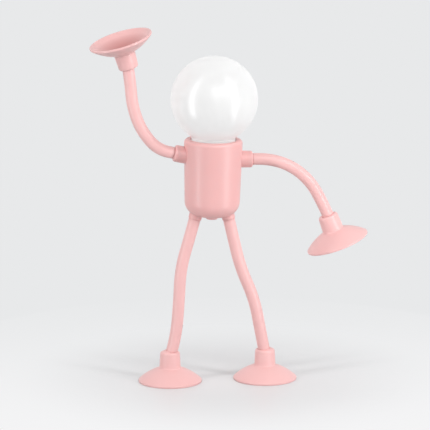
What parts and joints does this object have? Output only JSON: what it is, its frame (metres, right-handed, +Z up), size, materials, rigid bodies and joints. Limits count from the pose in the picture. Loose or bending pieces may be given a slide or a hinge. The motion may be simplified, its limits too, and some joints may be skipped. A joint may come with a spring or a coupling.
{
  "type": "desk lamp",
  "caption": "Cordless figure lamp: opal globe on a cup-shaped body with bendable arms and legs that end in suction cups.",
  "frame": {"origin": "on the ground, under the middle of the whole lamp's box", "axes": "+X to the viewer's right, -Y is the front, +Z up; left and right are the viewer's"},
  "size_m": [0.1922, 0.06, 0.2467],
  "materials": {
    "pink_abs": "satin moulded ABS",
    "pink_silicone": "matte moulded silicone",
    "opal": "opal polycarbonate",
    "white_pc": "moulded white polycarbonate",
    "core_wire": "annealed wire",
    "screw_steel": "zinc plated",
    "board": "solder mask",
    "inlet_metal": "plated stamped shell",
    "cell_wrap": "shrink wrap",
    "nickel": "nickel strip",
    "led_board": "white coated",
    "led": "phosphor over a white package",
    "lead": "insulation",
    "switch": "moulded"
  },
  "bodies": {
    "torso": {"body_shell": "pink_abs", "chassis": "white_pc", "chassis_screws": "screw_steel", "main_board": "board", "usb_port": "inlet_metal", "battery": "cell_wrap", "battery_strips": "nickel", "led_board": "led_board", "led_chips": "led", "led_leads": "lead", "switch_body": "switch"},
    "globe": {"globe": "opal"},
    "button": {"button": "pink_abs", "switch_plunger": "switch"},
    "left_arm_1": {"left_arm_collar": "pink_abs", "left_arm_sleeve_1": "pink_silicone", "left_arm_core_1": "core_wire"},
    "left_arm_2": {"left_arm_sleeve_2": "pink_silicone", "left_arm_core_2": "core_wire"},
    "left_arm_3": {"left_arm_sleeve_3": "pink_silicone", "left_arm_core_3": "core_wire"},
    "left_arm_4": {"left_arm_sleeve_4": "pink_silicone", "left_arm_core_4": "core_wire", "left_hand_cup": "pink_silicone"},
    "right_arm_1": {"right_arm_collar": "pink_abs", "right_arm_sleeve_1": "pink_silicone", "right_arm_core_1": "core_wire"},
    "right_arm_2": {"right_arm_sleeve_2": "pink_silicone", "right_arm_core_2": "core_wire"},
    "right_arm_3": {"right_arm_sleeve_3": "pink_silicone", "right_arm_core_3": "core_wire"},
    "right_arm_4": {"right_arm_sleeve_4": "pink_silicone", "right_arm_core_4": "core_wire", "right_hand_cup": "pink_silicone"},
    "left_leg_1": {"left_leg_collar": "pink_abs", "left_leg_sleeve_1": "pink_silicone", "left_leg_core_1": "core_wire"},
    "left_leg_2": {"left_leg_sleeve_2": "pink_silicone", "left_leg_core_2": "core_wire"},
    "left_leg_3": {"left_leg_sleeve_3": "pink_silicone", "left_leg_core_3": "core_wire"},
    "left_leg_4": {"left_leg_sleeve_4": "pink_silicone", "left_leg_core_4": "core_wire", "left_foot_cup": "pink_silicone"},
    "right_leg_1": {"right_leg_collar": "pink_abs", "right_leg_sleeve_1": "pink_silicone", "right_leg_core_1": "core_wire"},
    "right_leg_2": {"right_leg_sleeve_2": "pink_silicone", "right_leg_core_2": "core_wire"},
    "right_leg_3": {"right_leg_sleeve_3": "pink_silicone", "right_leg_core_3": "core_wire"},
    "right_leg_4": {"right_leg_sleeve_4": "pink_silicone", "right_leg_core_4": "core_wire", "right_foot_cup": "pink_silicone"}
  },
  "joints": [
    {"name": "globe_twist", "type": "hinge", "parent": "torso", "child": "globe", "pos_m": [-0.01149, 0, 0.17058], "axis": [0.0209, 0, 0.9998], "range_deg": [0, 40]},
    {"name": "button_press", "type": "slide", "parent": "torso", "child": "button", "axis": [0.0209, 0, 0.9998], "range_m": [0, 0.0008], "stiffness_N_per_m": 800, "springref_m": -0.0005},
    {"name": "left_arm_roll", "type": "hinge", "parent": "torso", "child": "left_arm_1", "pos_m": [-0.02936, 0, 0.15932], "axis": [-0.9755, 0, 0.2198], "range_deg": [-90, 90]},
    {"name": "left_arm_bend_1", "type": "hinge", "parent": "left_arm_1", "child": "left_arm_2", "pos_m": [-0.05448, 0.00041, 0.16932], "axis": [-0.0211, 0.9954, -0.0935], "range_deg": [-30, 25]},
    {"name": "left_arm_bend_2", "type": "hinge", "parent": "left_arm_2", "child": "left_arm_3", "pos_m": [-0.06372, 0.00165, 0.1846], "axis": [0.0211, -0.9954, 0.0935], "range_deg": [-25, 30]},
    {"name": "left_arm_bend_3", "type": "hinge", "parent": "left_arm_3", "child": "left_arm_4", "pos_m": [-0.06764, 0.0032, 0.20204], "axis": [-0.0211, 0.9954, -0.0935], "range_deg": [-30, 30]},
    {"name": "right_arm_roll", "type": "hinge", "parent": "torso", "child": "right_arm_1", "pos_m": [0.00584, 0, 0.1561], "axis": [0.9999, 0, -0.014], "range_deg": [-90, 90]},
    {"name": "right_arm_bend_1", "type": "hinge", "parent": "right_arm_1", "child": "right_arm_2", "pos_m": [0.03323, 0, 0.1538], "axis": [0, 1, 0], "range_deg": [-30, 30]},
    {"name": "right_arm_bend_2", "type": "hinge", "parent": "right_arm_2", "child": "right_arm_3", "pos_m": [0.04898, 0, 0.14534], "axis": [0, -1, 0], "range_deg": [-30, 30]},
    {"name": "right_arm_bend_3", "type": "hinge", "parent": "right_arm_3", "child": "right_arm_4", "pos_m": [0.06035, 0, 0.13152], "axis": [0, 1, 0], "range_deg": [-30, 30]},
    {"name": "left_leg_roll", "type": "hinge", "parent": "torso", "child": "left_leg_1", "pos_m": [-0.02316, 0, 0.11981], "axis": [-0.2622, 0, -0.965], "range_deg": [-90, 90]},
    {"name": "left_leg_bend_1", "type": "hinge", "parent": "left_leg_1", "child": "left_leg_2", "pos_m": [-0.03096, 0, 0.09188], "axis": [0, 1, 0], "range_deg": [-12, 30]},
    {"name": "left_leg_bend_2", "type": "hinge", "parent": "left_leg_2", "child": "left_leg_3", "pos_m": [-0.03496, 0, 0.06838], "axis": [0, -1, 0], "range_deg": [-30, 16]},
    {"name": "left_leg_bend_3", "type": "hinge", "parent": "left_leg_3", "child": "left_leg_4", "pos_m": [-0.03652, 0, 0.04453], "axis": [0, 1, 0], "range_deg": [-20, 30]},
    {"name": "right_leg_roll", "type": "hinge", "parent": "torso", "child": "right_leg_1", "pos_m": [-0.00196, 0, 0.11937], "axis": [0.2215, 0, -0.9751], "range_deg": [-90, 90]},
    {"name": "right_leg_bend_1", "type": "hinge", "parent": "right_leg_1", "child": "right_leg_2", "pos_m": [0.00456, 0, 0.09111], "axis": [0, 1, 0], "range_deg": [-30, 12]},
    {"name": "right_leg_bend_2", "type": "hinge", "parent": "right_leg_2", "child": "right_leg_3", "pos_m": [0.01214, 0, 0.06848], "axis": [0, -1, 0], "range_deg": [-16, 30]},
    {"name": "right_leg_bend_3", "type": "hinge", "parent": "right_leg_3", "child": "right_leg_4", "pos_m": [0.01921, 0, 0.0457], "axis": [0, 1, 0], "range_deg": [-30, 20]}
  ]
}
